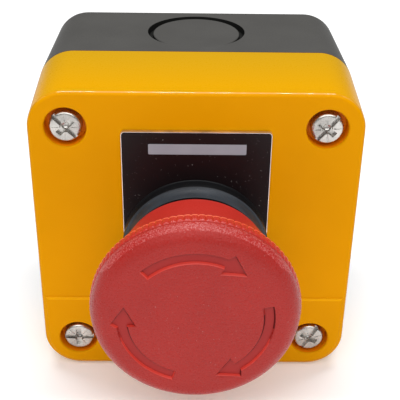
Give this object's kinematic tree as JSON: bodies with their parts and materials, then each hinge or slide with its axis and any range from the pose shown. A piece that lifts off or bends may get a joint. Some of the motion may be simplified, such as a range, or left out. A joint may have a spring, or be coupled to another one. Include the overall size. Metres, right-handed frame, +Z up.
{
  "type": "emergency stop control station",
  "caption": "Wall-mounted emergency stop station: yellow-lidded plastic box, black legend plate and a red turn-to-release mushroom head over sprung contact blocks.",
  "frame": {"origin": "centre of the box's flat back face, on the wall plane and on the head's axis", "axes": "+Y into the wall, along the head's axis and away from the front; +Z up; +X to the right as seen from the front"},
  "size_m": [0.069, 0.0784, 0.069],
  "materials": {
    "cover_plastic": "satin yellow moulded plastic with a fine grain",
    "base_plastic": "matte dark grey moulded plastic",
    "red_plastic": "satin red moulded plastic",
    "black_plastic": "semi-gloss black moulded plastic",
    "legend_plate": "aluminium with a satin black printed face and bare edges",
    "rubber": "matte black rubber",
    "zinc_steel": "bright zinc-plated steel",
    "spring_steel": "drawn spring steel",
    "brass": "stamped brass",
    "collar_plastic": "matte grey moulded plastic",
    "block_plastic": "pale grey moulded plastic",
    "nc_plunger_plastic": "red moulded plastic",
    "no_plunger_plastic": "green moulded plastic",
    "acetal": "white acetal"
  },
  "bodies": {
    "enclosure": {"base_box": "base_plastic", "cover": "cover_plastic", "cover_seal": "rubber", "cover_screw_1": "zinc_steel", "cover_screw_2": "zinc_steel", "cover_screw_3": "zinc_steel", "cover_screw_4": "zinc_steel", "legend_plate": "legend_plate", "panel_gasket": "rubber", "bezel": "black_plastic", "locking_nut": "black_plastic", "mounting_collar": "collar_plastic", "collar_screw_1": "zinc_steel", "collar_screw_2": "zinc_steel", "return_spring": "spring_steel", "nc_housing": "block_plastic", "nc_spring": "spring_steel", "nc_terminal_1": "brass", "nc_terminal_2": "brass", "nc_terminal_screw_1": "zinc_steel", "nc_terminal_screw_2": "zinc_steel", "no_housing": "block_plastic", "no_spring": "spring_steel", "no_terminal_1": "brass", "no_terminal_2": "brass", "no_terminal_screw_1": "zinc_steel", "no_terminal_screw_2": "zinc_steel"},
    "plunger": {"plunger_sleeve": "acetal", "twist_spring": "spring_steel"},
    "head": {"mushroom_cap": "red_plastic", "cam_shaft": "acetal", "retaining_clip": "spring_steel"},
    "latch_right": {"latch_pin_1": "zinc_steel"},
    "latch_left": {"latch_pin_2": "zinc_steel"},
    "nc_contact": {"nc_plunger": "nc_plunger_plastic", "nc_bridge": "brass"},
    "no_contact": {"no_plunger": "no_plunger_plastic", "no_bridge": "brass"}
  },
  "joints": [
    {"name": "head_press", "type": "slide", "parent": "enclosure", "child": "plunger", "axis": [0, 1, 0], "range_m": [0, 0.0043], "stiffness_N_per_m": 1500, "deforming": ["return_spring"]},
    {"name": "head_twist", "type": "hinge", "parent": "plunger", "child": "head", "pos_m": [0, -0.06, 0], "axis": [0, 1, 0], "range_deg": [0, 45], "stiffness_Nm_per_rad": 0.05, "deforming": ["twist_spring"]},
    {"name": "latch_right_retract", "type": "slide", "parent": "plunger", "child": "latch_right", "axis": [-1, 0, 0], "range_m": [0, 0.0005]},
    {"name": "latch_left_retract", "type": "slide", "parent": "plunger", "child": "latch_left", "axis": [1, 0, 0], "range_m": [0, 0.0005]},
    {"name": "nc_travel", "type": "slide", "parent": "enclosure", "child": "nc_contact", "axis": [0, 1, 0], "range_m": [0, 0.0043], "deforming": ["nc_spring"]},
    {"name": "no_travel", "type": "slide", "parent": "enclosure", "child": "no_contact", "axis": [0, 1, 0], "range_m": [0, 0.0043], "deforming": ["no_spring"]}
  ],
  "couplings": [
    {"joint": "nc_travel", "follows": "head_press", "ratio": 1},
    {"joint": "no_travel", "follows": "head_press", "ratio": 1},
    {"joint": "latch_right_retract", "follows": "head_twist", "m_per_rad": 0.00057296},
    {"joint": "latch_left_retract", "follows": "head_twist", "m_per_rad": 0.00057296}
  ]
}
